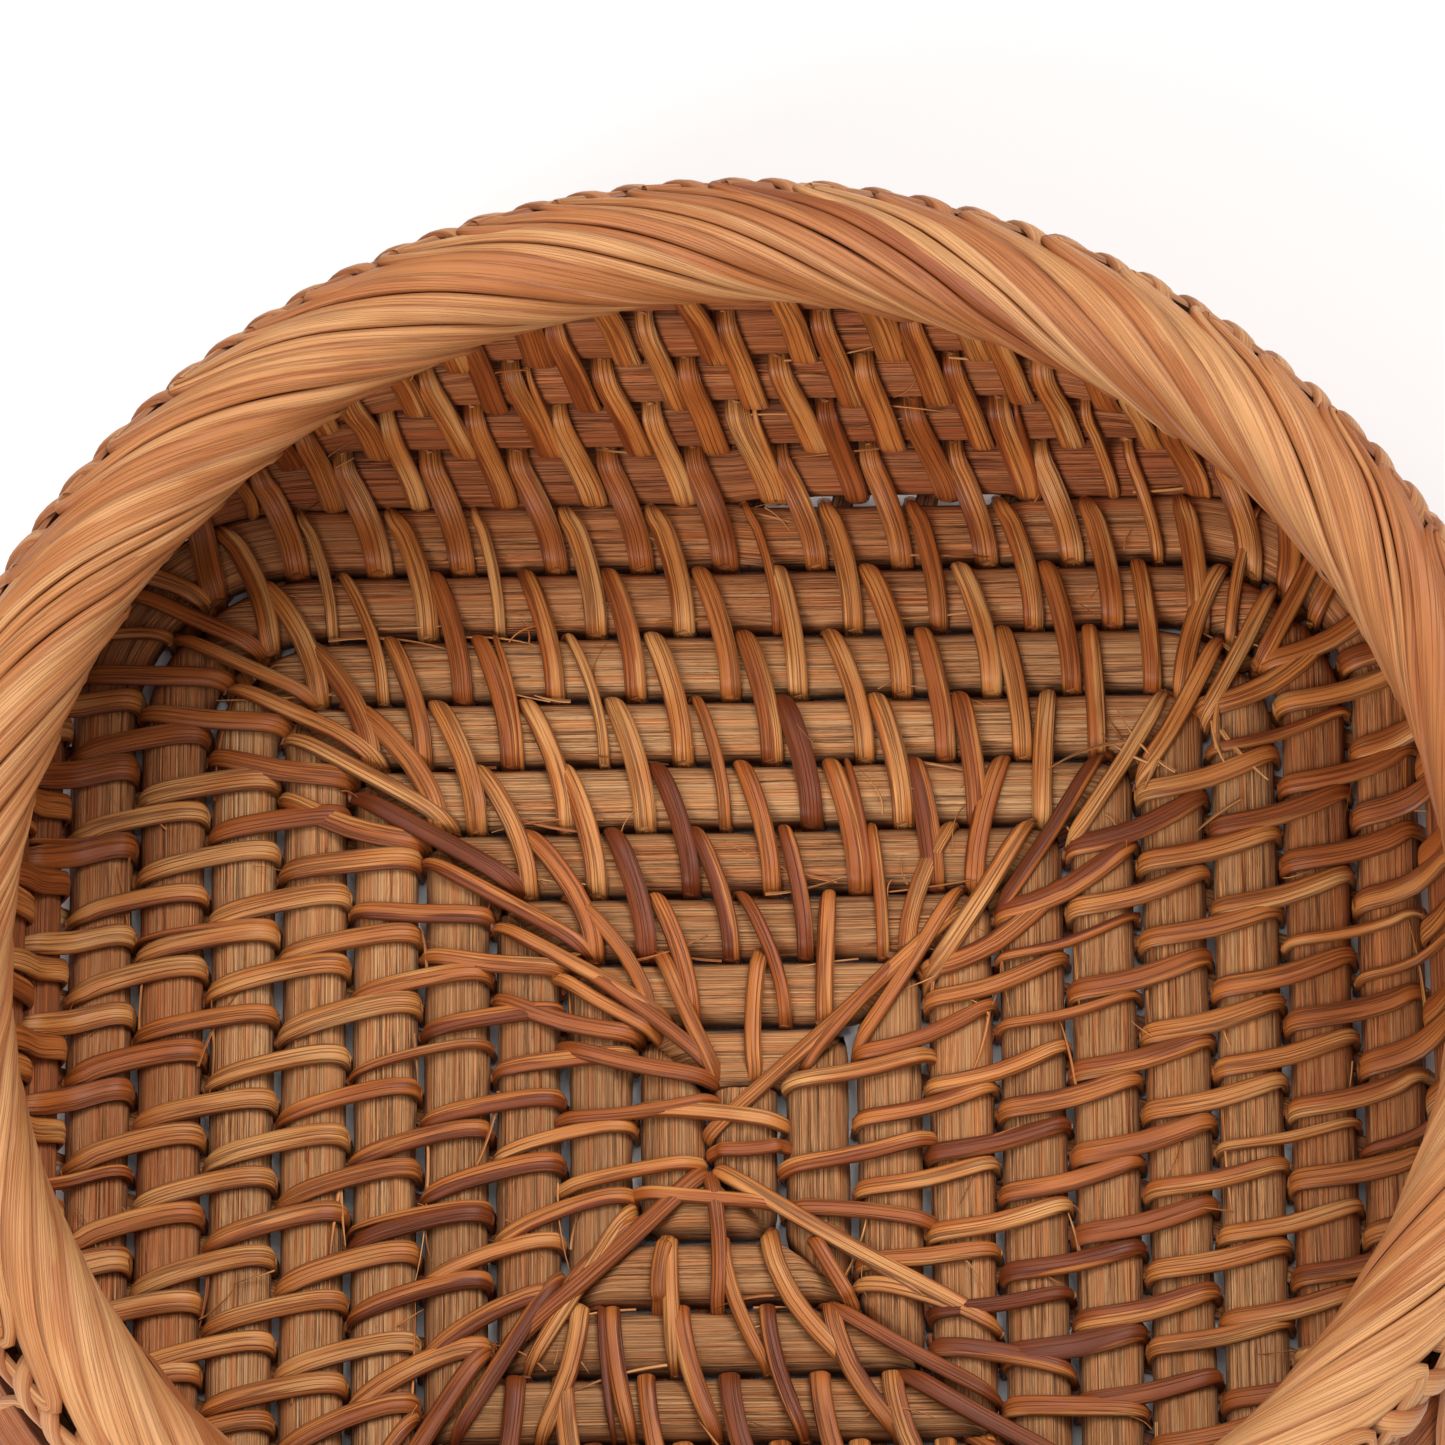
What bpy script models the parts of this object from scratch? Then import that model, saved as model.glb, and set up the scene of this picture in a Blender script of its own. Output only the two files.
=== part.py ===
"""Coiled wicker basket: a square-coiled cane floor that rises into a round, wrapped rim.

Units are metres, +Z is up, and the basket stands on z = 0 with the centre of its rim on the Z axis.
One long strip of split cane winds clockwise from the middle of the floor outwards. Each turn is a row.
Rows 1 to 9 lie flat, rows 10 to 15 climb the wall, and a last ring sits inside the rim. Thin strands of
cane peel lace each row from the third on to the row inside it, and wall strands 10 and 11 are in four
pieces that stop before the corners. Two half-round hoops hold the last ring between them, and a wide
peel is wrapped over them all round in a false braid.
"""

import math

import bmesh
import bpy
from mathutils import Vector

# Coil
PITCH = 0.0085  # from one row to the next
CANE_WIDTH = 0.0067
CANE_THICKNESS = 0.0042
CANE_SHOULDER = 0.0025  # height at which the round top of the cane starts
CANE_CROWN = 0.0042  # width of the cane across its top
FLOOR_ROWS = 9
WALL_ROWS = 15
SLOT = 0.00075  # the floor is this much longer than wide, on each side of its middle
START_LENGTH = 0.0050  # how far the first leg runs behind the middle
CLEARANCE = 0.0003  # between pieces that touch

# Profile of floor and wall halfway along a side: (length, slope at its start, slope at its end)
PROFILE = (
    (0.0760, 0.0, 0.0),
    (0.0131, 0.0, 75.0),
    (0.0239, 75.0, 75.0),
    (0.0300, 75.0, 125.0),
)

# Corners
CORNER_RADII = ((6, 0.004), (9, 0.024), (10, 0.032), (12, 0.058), (14, 0.078), (16, 0.090))  # by row
CORNER_LIFT = 0.0012  # how much higher the wall's rows run at the corners
LIFT_ROWS = (9, 11.5)  # the lift grows between these rows
SINK_ROWS = (12, 17)  # and fades out between these

# Stitching
PEEL_THICKNESS = 0.0007
PEEL_WIDTH = 0.0022
DARK_ROWS = (4, 5)  # floor rows laced with reddish peel
STITCH_SLANT = 0.0055  # how far a stitch moves along its two rows
STITCH_PITCH = 2 * PITCH
FIRST_STITCH = 0.0325  # from the corner of the outer gap to a side's first stitch
CORNER_STITCH = 0.0031  # from the corners' diagonals to the ends of the stitch that crosses them
LAST_WALL_STITCHING = 14  # the strand that laces this row is the topmost one
SIDE_PLACES = 9  # places for a stitch along one side of the wall
SIDE_PHASES = (0.96, 0.618, 0.662, 0.368)  # where the first of them lies on the front, left, back, right
WALL_SPACING = 1.7  # least distance between a wall strand's stitches, in places
SHARP_ROWS = (10, 11)  # a strand of these rows stops before each corner, so there are four of it
CORNER_ROOM = ((11, 0.9), (12, 0.0))  # no stitch is nearer to a corner, by row, in places
SHIFT = ((9, 0.0), (10, 0.09), (11, 0.0))  # by row, in places, so that no strand crosses the next one
STOP_SPACING = ((10, 0.55), (12, 0.95))  # between its turning points outside the wall, by row, in places
# How much further off the cane the wall's strands lie, outside and inside the basket, by row
LOOSE_OUTSIDE = ((9.2, 0.0), (9.5, 0.0014), (10.5, 0.0016), (12.5, 0.0013), (14.5, 0.0017))
LOOSE_INSIDE = ((8.5, 0.0), (9.5, 0.0004), (11.5, 0.0007))

# Rim
RIM_RADIUS = 0.0883
RIM_HEIGHT = 0.0600
RIM_TUBE = 0.0066  # outer radius of the wrapped rim
HOOP_TUBE = 0.0050  # outer radius of the bundle of hoops inside it
RIM_SEGMENTS = 48
WRAP_PASSES = 60
WRAP_STRANDS = 4
WRAP_THICKNESS = 0.0007
WRAP_LEAD = 0.047  # how far a pass runs along the rim on its way over the top
WRAP_COVER = 0.86  # share of the rim that the passes cover
WRAP_FOLD = 30.0  # angle above the outer side at which a pass folds back on itself
WRAP_OVER = (30.0, 73.0, 116.0, 160.0, 205.0)  # angles round the rim of a pass over the top
WRAP_BACK = (-20.0, 5.0)  # and of its way back up the outer side
TIE_ROW = 14.5  # each pass goes through the wall below row 15
TIE_WIDTH = 0.0030
TIE_ROOM = 0.22  # least distance from a pass to a stitch in the same gap, in places

FLOOR_LEVEL = PEEL_THICKNESS + CLEARANCE + CANE_THICKNESS / 2
STAND_OFF = CANE_THICKNESS / 2 + CLEARANCE + PEEL_THICKNESS / 2  # from mid-cane to mid-peel

# Sides in the order that the coil winds through them, clockwise from above
RIGHT, FRONT, LEFT, BACK = range(4)
NORMALS = (Vector((1, 0, 0)), Vector((0, -1, 0)), Vector((-1, 0, 0)), Vector((0, 1, 0)))
UP = Vector((0, 0, 1))
TURN = (FRONT, LEFT, BACK, RIGHT)  # the sides of one turn, in order


def clear_scene():
    for old in list(bpy.data.objects):
        bpy.data.objects.remove(old, do_unlink=True)


def material(name, colour, roughness):
    made = bpy.data.materials.get(name) or bpy.data.materials.new(name)
    made.use_nodes = True
    shader = made.node_tree.nodes["Principled BSDF"]
    shader.inputs["Base Color"].default_value = (*colour, 1.0)
    shader.inputs["Roughness"].default_value = roughness
    shader.inputs["Metallic"].default_value = 0.0
    made.diffuse_color = (*colour, 1.0)
    return made


def straw_cane():
    return material("straw_cane", (0.52, 0.32, 0.15), 0.62)


def orange_cane():
    return material("orange_cane", (0.42, 0.19, 0.07), 0.60)


def golden_peel():
    return material("golden_peel", (0.50, 0.25, 0.09), 0.45)


def mahogany_peel():
    return material("mahogany_peel", (0.20, 0.06, 0.025), 0.45)


def rim_peel():
    return material("rim_peel", (0.60, 0.32, 0.14), 0.42)


def ease(value, start, end):
    """0 before start and 1 after end, with a smooth step between them."""
    share = min(max((value - start) / (end - start), 0.0), 1.0)
    return share * share * (3 - 2 * share)


def profile(row):
    """Distance from the axis and height of a row, halfway along a side."""
    left = PITCH * abs(row)
    out = rise = 0.0
    for length, first, last in PROFILE:
        run = min(left, length)
        start = math.radians(first)
        turn = math.radians(last - first) * run / length
        if turn:
            radius = run / turn
            out += radius * (math.sin(start + turn) - math.sin(start))
            rise += radius * (math.cos(start) - math.cos(start + turn))
        else:
            out += run * math.cos(start)
            rise += run * math.sin(start)
        left -= run
    return math.copysign(out, row), rise


def offset(side, row):
    """Distance of a side's row from the axis."""
    longer = SLOT if side in (FRONT, BACK) else 0.0
    return profile(row)[0] + longer * (1 - ease(row, FLOOR_ROWS, LAST_WALL_STITCHING))


def between(row, table):
    """The value at a row, on straight lines between a table's (row, value) pairs."""
    value = table[0][1]
    for (low, before), (high, after) in zip(table, table[1:]):
        share = min(max((row - low) / (high - low), 0.0), 1.0)
        value += (after - before) * share
    return value


def corner_radius(row):
    return between(row, CORNER_RADII)


def step_after(side):
    """The coil gains a row where the right side turns into the front."""
    return 1 if side == RIGHT else 0


def corner(side, row, at_end):
    """(coordinate of the corner along the side, its radius, the row that meets it there)"""
    if at_end:
        step = step_after(side)
        reach = offset((side + 1) % 4, row + step)
    else:
        step = -step_after((side - 1) % 4)
        reach = offset((side - 1) % 4, row + step)
    radius = corner_radius(row + step / 2)
    return (reach if at_end else -reach), radius, row + step


def diagonal(side, row, at_end):
    """How far along the side its corner's diagonal lies."""
    reach, radius, _ = corner(side, row, at_end)
    cut = radius * (1 - math.pi / 4)
    return reach - cut if at_end else reach + cut


def place(side, row, along):
    """A point of the woven surface, by side, row and distance along the side from its middle."""
    middle = 0.0 if side in (LEFT, BACK) else PITCH / 2
    at_end = along > middle or row < 0.2
    reach, radius, partner = corner(side, row, at_end)
    sign = 1 if at_end else -1
    straight = reach - sign * radius
    angle = max(0.0, sign * (along - straight)) / radius
    out = offset(side, row) - radius * (1 - math.cos(angle))
    forward = straight + sign * radius * math.sin(angle) if angle else along
    share = angle / (math.pi / 4)
    height = profile(row)[1]
    height += (profile(partner)[1] - height) * share / 2
    lift = CORNER_LIFT * ease(row, *LIFT_ROWS) * (1 - ease(row, *SINK_ROWS))
    height += lift * ease(1 - abs(1 - share), 0, 1)
    travel = NORMALS[(side + 1) % 4]
    return NORMALS[side] * out + travel * forward + UP * (FLOOR_LEVEL + height)


def frame(side, row, along):
    """(point, direction along the row, direction to the next row, direction into the basket)"""
    near = 0.0004
    tangent = (place(side, row, along + near) - place(side, row, along - near)).normalized()
    across = place(side, row + 0.05, along) - place(side, row - 0.05, along)
    across = (across - tangent * across.dot(tangent)).normalized()
    return place(side, row, along), tangent, across, tangent.cross(across)


def side_samples(side, row, segments):
    """Distances along one side's row: its straight part and its half of each corner."""
    samples = []
    for at_end in (False, True):
        reach, radius, _ = corner(side, row, at_end)
        sign = 1 if at_end else -1
        straight = reach - sign * radius
        steps = [straight + sign * radius * math.pi / 4 * i / segments for i in range(segments + 1)]
        samples += steps if at_end else steps[::-1]
    return samples


def swept(sections, closed=False):
    """A closed mesh through a list of sections, each a list of points in the same order."""
    shape = bmesh.new()
    rings = [[shape.verts.new(point) for point in section] for section in sections]
    count = len(rings[0])
    following = rings[1:] + rings[:1] if closed else rings[1:]
    for ring, after in zip(rings, following):
        for i in range(count):
            j = (i + 1) % count
            shape.faces.new((ring[i], ring[j], after[j], after[i]))
    if not closed:
        shape.faces.new(rings[0][::-1])
        shape.faces.new(rings[-1])
    bmesh.ops.recalc_face_normals(shape, faces=shape.faces)
    return shape


def add_part(name, shape, look, smooth_angle=40.0):
    mesh = bpy.data.meshes.new(name)
    shape.to_mesh(mesh)
    shape.free()
    mesh.shade_smooth()
    mesh.set_sharp_from_angle(angle=math.radians(smooth_angle))
    mesh.materials.append(look)
    part = bpy.data.objects.new(name, mesh)
    bpy.context.collection.objects.link(part)
    return part


def cane_section(point, across, inward):
    """Split cane: flat underneath, rounded on the side that faces into the basket."""
    half = CANE_WIDTH / 2
    low = -CANE_THICKNESS / 2
    outline = (
        (-half, low),
        (half, low),
        (half, low + CANE_SHOULDER),
        (CANE_CROWN / 2, -low),
        (-CANE_CROWN / 2, -low),
        (-half, low + CANE_SHOULDER),
    )
    return [point + across * x + inward * y for x, y in outline]


def coil_row(row):
    """One turn of the coil, from the right-hand front corner round to the same corner."""
    segments = 1 if row <= 7 else 3 if row <= 10 else 4
    stops = []
    if row == 1:
        stops += [(RIGHT, 0, along) for along in [-START_LENGTH] + side_samples(RIGHT, 0, segments)[2:]]
    for side in TURN:
        samples = side_samples(side, row, segments)
        if side == FRONT and row > 1:
            samples[0] += CLEARANCE
        if side == RIGHT:
            samples[-1] -= CLEARANCE
        joined = bool(stops)
        stops += [(side, row, along) for along in samples[1 if joined else 0 :]]
    sections = []
    for stop in stops:
        point, _, across, inward = frame(*stop)
        sections.append(cane_section(point, across, inward))
    look = straw_cane() if row <= 7 else orange_cane()
    kind = "floor" if row <= FLOOR_ROWS else "wall"
    add_part(f"{kind}_coil_{row:02d}", swept(sections), look)


def strand_sections(path, thickness):
    """Sections of a flat strand: path holds (point, its whole width, outward miter)."""
    sections = []
    for point, wide, out in path:
        side = wide / 2
        thick = out * thickness / 2
        sections.append([point - side - thick, point + side - thick, point + side + thick, point - side + thick])
    return sections


def outside(row, point, inward, miter, side):
    """The middle of a strand that passes outside the rows, but no part of it below the floor's strands."""
    moved = point - inward * (STAND_OFF + between(row, LOOSE_OUTSIDE))
    moved.z = max(moved.z, (PEEL_THICKNESS * abs(miter.z) + abs(side.z)) / 2)
    return moved


def turn_of_strand(side, row, along, top, outer, width=PEEL_WIDTH):
    """Where a strand turns between a gap and the rows: top is inside the basket."""
    point, tangent, across, inward = frame(side, row, along)
    out = 1 if outer else -1
    if top:
        stand_off = STAND_OFF + between(row, LOOSE_INSIDE)
        return point + inward * stand_off, tangent * width, inward + across * out
    miter = across * out - inward
    return outside(row, point, inward, miter, tangent * width), tangent * width, miter


def stitch_path(start, end):
    """One stitch: up through the outer gap, over two rows, and down through the inner gap."""
    return [
        turn_of_strand(*start, top=False, outer=True),
        turn_of_strand(*start, top=True, outer=True),
        turn_of_strand(*end, top=True, outer=False),
        turn_of_strand(*end, top=False, outer=False),
    ]


def under_point(side, row, along):
    """A point of a strand on its way from stitch to stitch, on the outside of the basket."""
    point, tangent, _, inward = frame(side, row, along)
    wide = tangent * PEEL_WIDTH
    return outside(row, point, inward, -inward, wide), wide, -inward


def flat_corner(side, row, at_end):
    """The corner's coordinate along the side if the floor stayed flat."""
    neighbour = (side + 1) % 4 if at_end else (side - 1) % 4
    step = step_after(side) if at_end else -step_after(neighbour)
    reach = PITCH * (row + step) + (SLOT if neighbour in (FRONT, BACK) else 0.0)
    return reach if at_end else -reach


def floor_stitches(row):
    """Both ends of each of a floor strand's stitches: along a side, then one over its last corner."""
    outer = row + 0.5
    inner = row - 1.5
    stitches = []
    for side in TURN:
        along = flat_corner(side, outer, False) + FIRST_STITCH
        last = flat_corner(side, outer, True) - FIRST_STITCH - STITCH_SLANT
        while along <= last:
            stitches.append(((side, outer, along), (side, inner, along + STITCH_SLANT)))
            along += STITCH_PITCH
        if side != TURN[-1]:
            after = (side + 1) % 4
            leave = diagonal(side, outer, True) - CORNER_STITCH
            land = diagonal(after, inner, False) + CORNER_STITCH
            stitches.append(((side, outer, leave), (after, inner, land)))
    return stitches


def floor_strand(row):
    stitches = floor_stitches(row)
    path = []
    for (start, end), following in zip(stitches, stitches[1:] + [None]):
        path += stitch_path(start, end)
        if row == FLOOR_ROWS and following and end[0] == following[0][0]:
            path.append(under_point(end[0], row - 0.5, (end[2] + following[0][2]) / 2))
    look = mahogany_peel() if row in DARK_ROWS else golden_peel()
    add_part(f"floor_stitching_{row:02d}", swept(strand_sections(path, PEEL_THICKNESS)), look)


def ring_stop(row, turn):
    """(side, row, distance along it) at a place counted round one turn from its start."""
    index = min(int(turn // SIDE_PLACES), len(TURN) - 1)
    side = TURN[index]
    share = turn / SIDE_PLACES - index
    start = diagonal(side, row, False)
    end = diagonal(side, row, True)
    if row < FLOOR_ROWS + 2:
        middle = (start + end) / 2
        return side, row, middle + (share - 0.5) * SIDE_PLACES * STITCH_PITCH
    return side, row, start + (end - start) * share


def wall_places(row):
    """Places of a wall strand's outer ends, counted round one turn."""
    places = []
    for index, phase in enumerate(SIDE_PHASES):
        first = (phase + between(row, SHIFT) + (0.0 if row % 2 else 0.5)) % 1
        for count in range(SIDE_PLACES):
            turn = first + count
            if min(turn, SIDE_PLACES - turn) < between(row, CORNER_ROOM):
                continue
            turn += index * SIDE_PLACES
            if not places or turn - places[-1] >= WALL_SPACING:
                places.append(turn)
    slant = STITCH_SLANT / STITCH_PITCH
    return [turn for turn in places if turn + slant < len(TURN) * SIDE_PLACES]


def wall_strand(row, places, name):
    outer = row + 0.5
    inner = row - 1.5
    slant = STITCH_SLANT / STITCH_PITCH
    path = []
    for turn, following in zip(places, places[1:] + [None]):
        path += stitch_path(ring_stop(outer, turn), ring_stop(inner, turn + slant))
        if following:
            run = following - turn - slant
            stops = int(run / between(row, STOP_SPACING))
            for i in range(1, stops + 1):
                share = i / (stops + 1)
                stop = ring_stop(inner + 2 * share, turn + slant + run * share)
                path.append(under_point(*stop))
    add_part(name, swept(strand_sections(path, PEEL_THICKNESS)), golden_peel())


def wall_strands(row):
    places = wall_places(row)
    if row not in SHARP_ROWS:
        wall_strand(row, places, f"wall_stitching_{row:02d}")
        return
    for index, side in enumerate(("front", "left", "back", "right")):
        own = [turn for turn in places if int(turn // SIDE_PLACES) == index]
        wall_strand(row, own, f"wall_stitching_{row:02d}_{side}")


def rim_frame(azimuth):
    """(middle of the rim's section, direction outwards, direction along the rim, clockwise from above)"""
    out = Vector((math.cos(azimuth), math.sin(azimuth), 0))
    along = Vector((math.sin(azimuth), -math.cos(azimuth), 0))
    return out * RIM_RADIUS + UP * RIM_HEIGHT, out, along


def hoop(name, outline, start_degrees, look):
    """A ring of the given section, (outwards, upwards), with its ends butted together."""
    gap = 2 * CLEARANCE / RIM_RADIUS
    sections = []
    for i in range(RIM_SEGMENTS + 1):
        azimuth = math.radians(start_degrees) - gap / 2 - (2 * math.pi - gap) * i / RIM_SEGMENTS
        middle, out, _ = rim_frame(azimuth)
        sections.append([middle + out * x + UP * y for x, y in outline])
    add_part(name, swept(sections), look)


def rim_hoops():
    half = CANE_THICKNESS / 2
    tall = CANE_WIDTH / 2
    ring = ((-half, -tall), (half, -tall), (half, tall), (-half, tall))
    hoop("rim_coil", ring, -40, orange_cane())
    face = half + CLEARANCE
    edge = math.acos(face / HOOP_TUBE)
    angles = [edge * share for share in (-1.0, -0.5, 0.0, 0.5, 1.0)]
    half_round = [(HOOP_TUBE * math.cos(angle), HOOP_TUBE * math.sin(angle)) for angle in angles]
    hoop("rim_hoop_outer", half_round, 150, straw_cane())
    hoop("rim_hoop_inner", [(-x, y) for x, y in half_round], 60, straw_cane())


def rim_point(azimuth, angle):
    """A point of the wrap at an angle round the rim, counted from its outer side over the top."""
    middle, out, along = rim_frame(azimuth)
    radial = out * math.cos(math.radians(angle)) + UP * math.sin(math.radians(angle))
    point = middle + radial * (RIM_TUBE - WRAP_THICKNESS / 2)
    reach = math.hypot(point.x, point.y)
    return point, along * WRAP_COVER * reach * 2 * math.pi / WRAP_PASSES, radial


def tie_place(azimuth, stitches):
    """Where a pass goes through the wall, counted round one turn and kept clear of the stitches."""
    places = len(TURN) * SIDE_PLACES
    turn = (-math.degrees(azimuth) - 45.0) % 360.0 / 360.0 * places
    for stitch in stitches:
        if abs(turn - stitch) < TIE_ROOM:
            turn = stitch + math.copysign(TIE_ROOM, turn - stitch)
    return turn


def wrap_strand(index, name):
    """A quarter of the false braid: each pass leads over the top, then doubles back up the outside."""
    stitches = wall_places(LAST_WALL_STITCHING)
    step = 2 * math.pi / WRAP_PASSES
    lead = WRAP_LEAD / RIM_RADIUS
    passes = WRAP_PASSES // WRAP_STRANDS
    path = []
    for count in range(index * passes, (index + 1) * passes):
        fold = -count * step
        for angle in WRAP_OVER:
            share = (angle - WRAP_FOLD) / (WRAP_OVER[-1] - WRAP_FOLD)
            path.append(rim_point(fold - lead * share, angle))
        tie = ring_stop(TIE_ROW, tie_place(fold - lead, stitches))
        path.append(turn_of_strand(*tie, top=True, outer=False, width=TIE_WIDTH))
        path.append(turn_of_strand(*tie, top=False, outer=False, width=TIE_WIDTH))
        for i, angle in enumerate(WRAP_BACK, start=1):
            share = i / (len(WRAP_BACK) + 1)
            path.append(rim_point(fold - lead + (lead - step) * share, angle))
    add_part(name, swept(strand_sections(path, WRAP_THICKNESS)), rim_peel())


def build():
    clear_scene()
    for row in range(1, WALL_ROWS + 1):
        coil_row(row)
    for row in range(3, FLOOR_ROWS + 1):
        floor_strand(row)
    for row in range(FLOOR_ROWS + 1, LAST_WALL_STITCHING + 1):
        wall_strands(row)
    rim_hoops()
    for index, quarter in enumerate(("right", "front", "left", "back")):
        wrap_strand(index, f"rim_wrap_{quarter}")


build()
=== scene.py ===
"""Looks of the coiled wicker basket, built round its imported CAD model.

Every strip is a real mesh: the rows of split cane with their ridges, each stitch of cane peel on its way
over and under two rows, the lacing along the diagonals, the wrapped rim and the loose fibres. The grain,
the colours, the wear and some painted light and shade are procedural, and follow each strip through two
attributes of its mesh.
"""

import math

import bpy
import numpy as np
from mathutils import Matrix, Vector


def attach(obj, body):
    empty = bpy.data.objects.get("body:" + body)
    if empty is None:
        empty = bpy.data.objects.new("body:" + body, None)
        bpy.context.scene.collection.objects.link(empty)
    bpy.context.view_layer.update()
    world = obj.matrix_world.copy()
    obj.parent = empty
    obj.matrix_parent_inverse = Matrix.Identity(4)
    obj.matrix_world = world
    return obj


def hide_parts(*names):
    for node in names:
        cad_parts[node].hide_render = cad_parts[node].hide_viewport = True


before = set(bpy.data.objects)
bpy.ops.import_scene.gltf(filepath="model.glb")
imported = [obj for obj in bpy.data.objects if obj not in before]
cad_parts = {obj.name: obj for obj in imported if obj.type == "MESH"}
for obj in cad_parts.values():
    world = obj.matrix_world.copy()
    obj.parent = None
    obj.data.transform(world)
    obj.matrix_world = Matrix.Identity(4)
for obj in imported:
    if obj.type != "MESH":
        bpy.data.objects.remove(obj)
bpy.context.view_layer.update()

MM = 0.001

# The woven surface, in metres, as the CAD has it. Rows are counted from the middle of the floor
PITCH = 0.0085
FLOOR_ROWS = 9
WALL_ROWS = 15
SLOT = 0.00075
START_LENGTH = 0.0050
# Length, and slope in degrees at its start and its end, of each part of the way from the axis to the rim
PROFILE = (
    (0.0760, 0.0, 0.0),
    (0.0131, 0.0, 75.0),
    (0.0239, 75.0, 75.0),
    (0.0300, 75.0, 125.0),
)
# (row, radius of its corners)
CORNER_RADII = ((6, 0.004), (9, 0.024), (10, 0.032), (12, 0.058), (14, 0.078), (16, 0.090))
CORNER_LIFT = 0.0012
LIFT_ROWS = (9, 11.5)
SINK_ROWS = (12, 17)
LAST_WALL_STITCHING = 14
FLOOR_LEVEL = 0.0031
CANE_WIDTH = 0.0075
CANE_THICKNESS = 0.0042

# How the cane is cut and folded: rows up to these numbers, and lengths in metres
STRAW_ROWS = 7
FOLDED_ROWS = 8
MITRED_ROWS = 6
MITRE = 0.006
MITRED_STEP = 0.0011
BENT_STEP = 0.0022
JOINT = 0.00005
CREASE_LENGTH = 0.0011

# The gap at the foot of the back wall: how its two rows lean together and widen outside its open part
GAP_LEAN = {9: 0.0004, 10: -0.0004}
GAP_WIDENING = 0.12
OPEN_PART = (0.003, 0.031)

# The rim and its wrap
RIM_RADIUS = 0.0883
RIM_HEIGHT = 0.0600
RIM_TUBE = 0.0066
WRAP_PASSES = 60
WRAP_STRANDS = 4
WRAP_LEAD = 0.047
WRAP_SINK = 0.0006
EDGE_LOOPS = 104

# What each random generator starts from. Rows add their number to theirs
COIL_SEED = 100
STRAND_SEED = 500
LACING_SEED = 77
RIM_SEED = 900
FIBRE_SEED = 31

RIGHT, FRONT, LEFT, BACK = range(4)
NORMALS = (Vector((1, 0, 0)), Vector((0, -1, 0)), Vector((-1, 0, 0)), Vector((0, 1, 0)))
UP = Vector((0, 0, 1))
TURN = (FRONT, LEFT, BACK, RIGHT)


def ease(value, start, end):
    share = min(max((value - start) / (end - start), 0.0), 1.0)
    return share * share * (3 - 2 * share)


def between(row, table):
    value = table[0][1]
    for (low, before), (high, after) in zip(table, table[1:]):
        share = min(max((row - low) / (high - low), 0.0), 1.0)
        value += (after - before) * share
    return value


def profile(row):
    """Distance from the axis and height of a row, halfway along a side."""
    left = PITCH * abs(row)
    out = rise = 0.0
    for length, first, last in PROFILE:
        run = min(left, length)
        start = math.radians(first)
        turn = math.radians(last - first) * run / length
        if turn:
            radius = run / turn
            out += radius * (math.sin(start + turn) - math.sin(start))
            rise += radius * (math.cos(start) - math.cos(start + turn))
        else:
            out += run * math.cos(start)
            rise += run * math.sin(start)
        left -= run
    return math.copysign(out, row), rise


def offset(side, row):
    longer = SLOT if side in (FRONT, BACK) else 0.0
    return profile(row)[0] + longer * (1 - ease(row, FLOOR_ROWS, LAST_WALL_STITCHING))


def step_after(side):
    """The coil gains a row where the right side turns into the front."""
    return 1 if side == RIGHT else 0


def corner(side, row, at_end):
    """(coordinate of the corner along the side, its radius, the row that meets it there)"""
    if at_end:
        step = step_after(side)
        reach = offset((side + 1) % 4, row + step)
    else:
        step = -step_after((side - 1) % 4)
        reach = offset((side - 1) % 4, row + step)
    radius = between(row + step / 2, CORNER_RADII)
    return (reach if at_end else -reach), radius, row + step


def diagonal(side, row, at_end):
    reach, radius, _ = corner(side, row, at_end)
    cut = radius * (1 - math.pi / 4)
    return reach - cut if at_end else reach + cut


def place(side, row, along):
    """A point of the woven surface, by side, row and distance along the side from its middle."""
    middle = 0.0 if side in (LEFT, BACK) else PITCH / 2
    at_end = along > middle or row < 0.2
    reach, radius, partner = corner(side, row, at_end)
    sign = 1 if at_end else -1
    straight = reach - sign * radius
    angle = max(0.0, sign * (along - straight)) / radius
    out = offset(side, row) - radius * (1 - math.cos(angle))
    forward = straight + sign * radius * math.sin(angle) if angle else along
    share = angle / (math.pi / 4)
    height = profile(row)[1]
    height += (profile(partner)[1] - height) * share / 2
    lift = CORNER_LIFT * ease(row, *LIFT_ROWS) * (1 - ease(row, *SINK_ROWS))
    height += lift * ease(1 - abs(1 - share), 0, 1)
    travel = NORMALS[(side + 1) % 4]
    return NORMALS[side] * out + travel * forward + UP * (FLOOR_LEVEL + height)


def surface(side, row, along):
    """(point, direction along the row, direction to the next row, direction into the basket)"""
    near = 0.0004
    part = 0.05
    tangent = (place(side, row, along + near) - place(side, row, along - near)).normalized()
    across = place(side, row + part, along) - place(side, row - part, along)
    across = (across - tangent * across.dot(tangent)).normalized()
    return place(side, row, along), tangent, across, tangent.cross(across)


def wander(rng, wavelength):
    """A smooth random curve of a length in metres, between about -1 and 1."""
    waves = [(rng.uniform(0.6, 1.9) / wavelength, rng.uniform(0, math.tau)) for _ in range(3)]
    return lambda s: sum(math.sin(math.tau * s * rate + phase) for rate, phase in waves) / 2.2


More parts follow.
